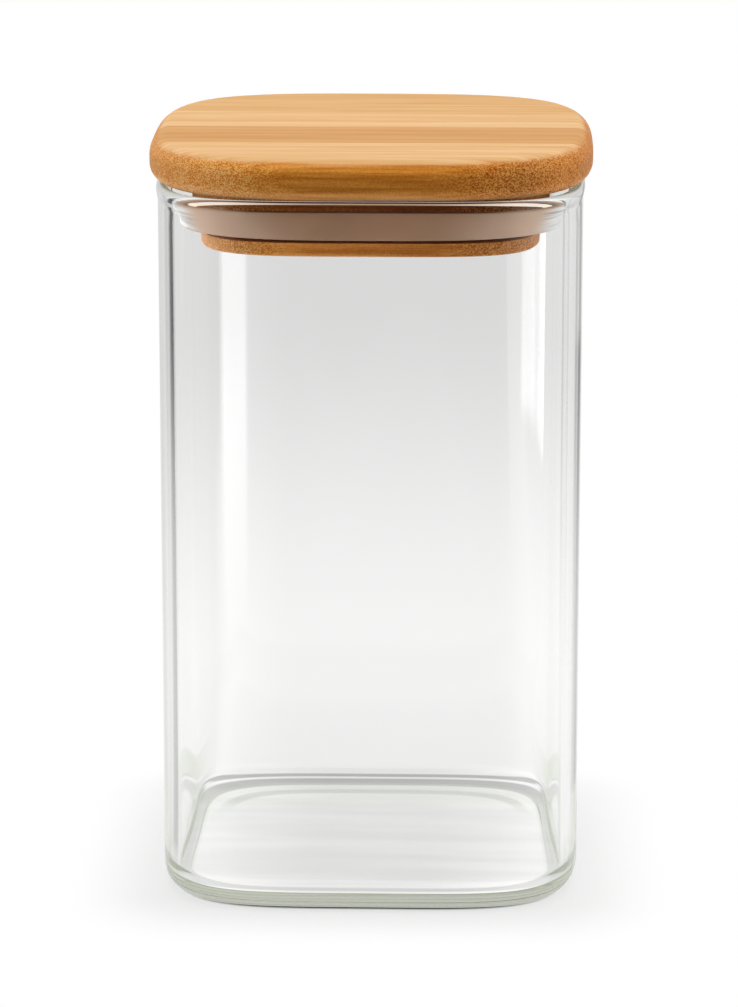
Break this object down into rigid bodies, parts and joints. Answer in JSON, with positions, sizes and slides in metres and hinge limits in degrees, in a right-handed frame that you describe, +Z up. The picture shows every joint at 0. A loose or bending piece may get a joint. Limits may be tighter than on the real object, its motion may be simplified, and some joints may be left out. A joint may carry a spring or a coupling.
{
  "type": "glass storage jar",
  "caption": "Upright square storage jar of clear glass with round corners, closed by a lift-off bamboo lid whose plug carries a translucent silicone seal.",
  "frame": {"origin": "middle of the jar's underside, on the surface that it stands on", "axes": "+Z up along the jar and along the way the lid lifts off; -Y is the front in the picture, and the bamboo grain runs along X"},
  "size_m": [0.1046, 0.1046, 0.1798],
  "materials": {
    "clear_glass": "clear polished glass",
    "bamboo_pale": "sanded, satin oiled",
    "bamboo_warm": "sanded, satin oiled",
    "bamboo_honey": "sanded, satin oiled",
    "bamboo_plug": "sanded, satin oiled",
    "silicone": "translucent, matte"
  },
  "bodies": {
    "jar": {"glass_jar": "clear_glass"},
    "lid": {"lid_strip_1": "bamboo_pale", "lid_strip_2": "bamboo_warm", "lid_strip_3": "bamboo_pale", "lid_strip_4": "bamboo_honey", "lid_strip_5": "bamboo_honey", "plug_strip_1": "bamboo_plug", "plug_strip_2": "bamboo_plug", "plug_strip_3": "bamboo_plug", "plug_strip_4": "bamboo_plug", "silicone_seal": "silicone"}
  },
  "joints": [
    {"name": "lid_lift", "type": "slide", "parent": "jar", "child": "lid", "axis": [0, 0, 1], "range_m": [0, 0.12]}
  ]
}
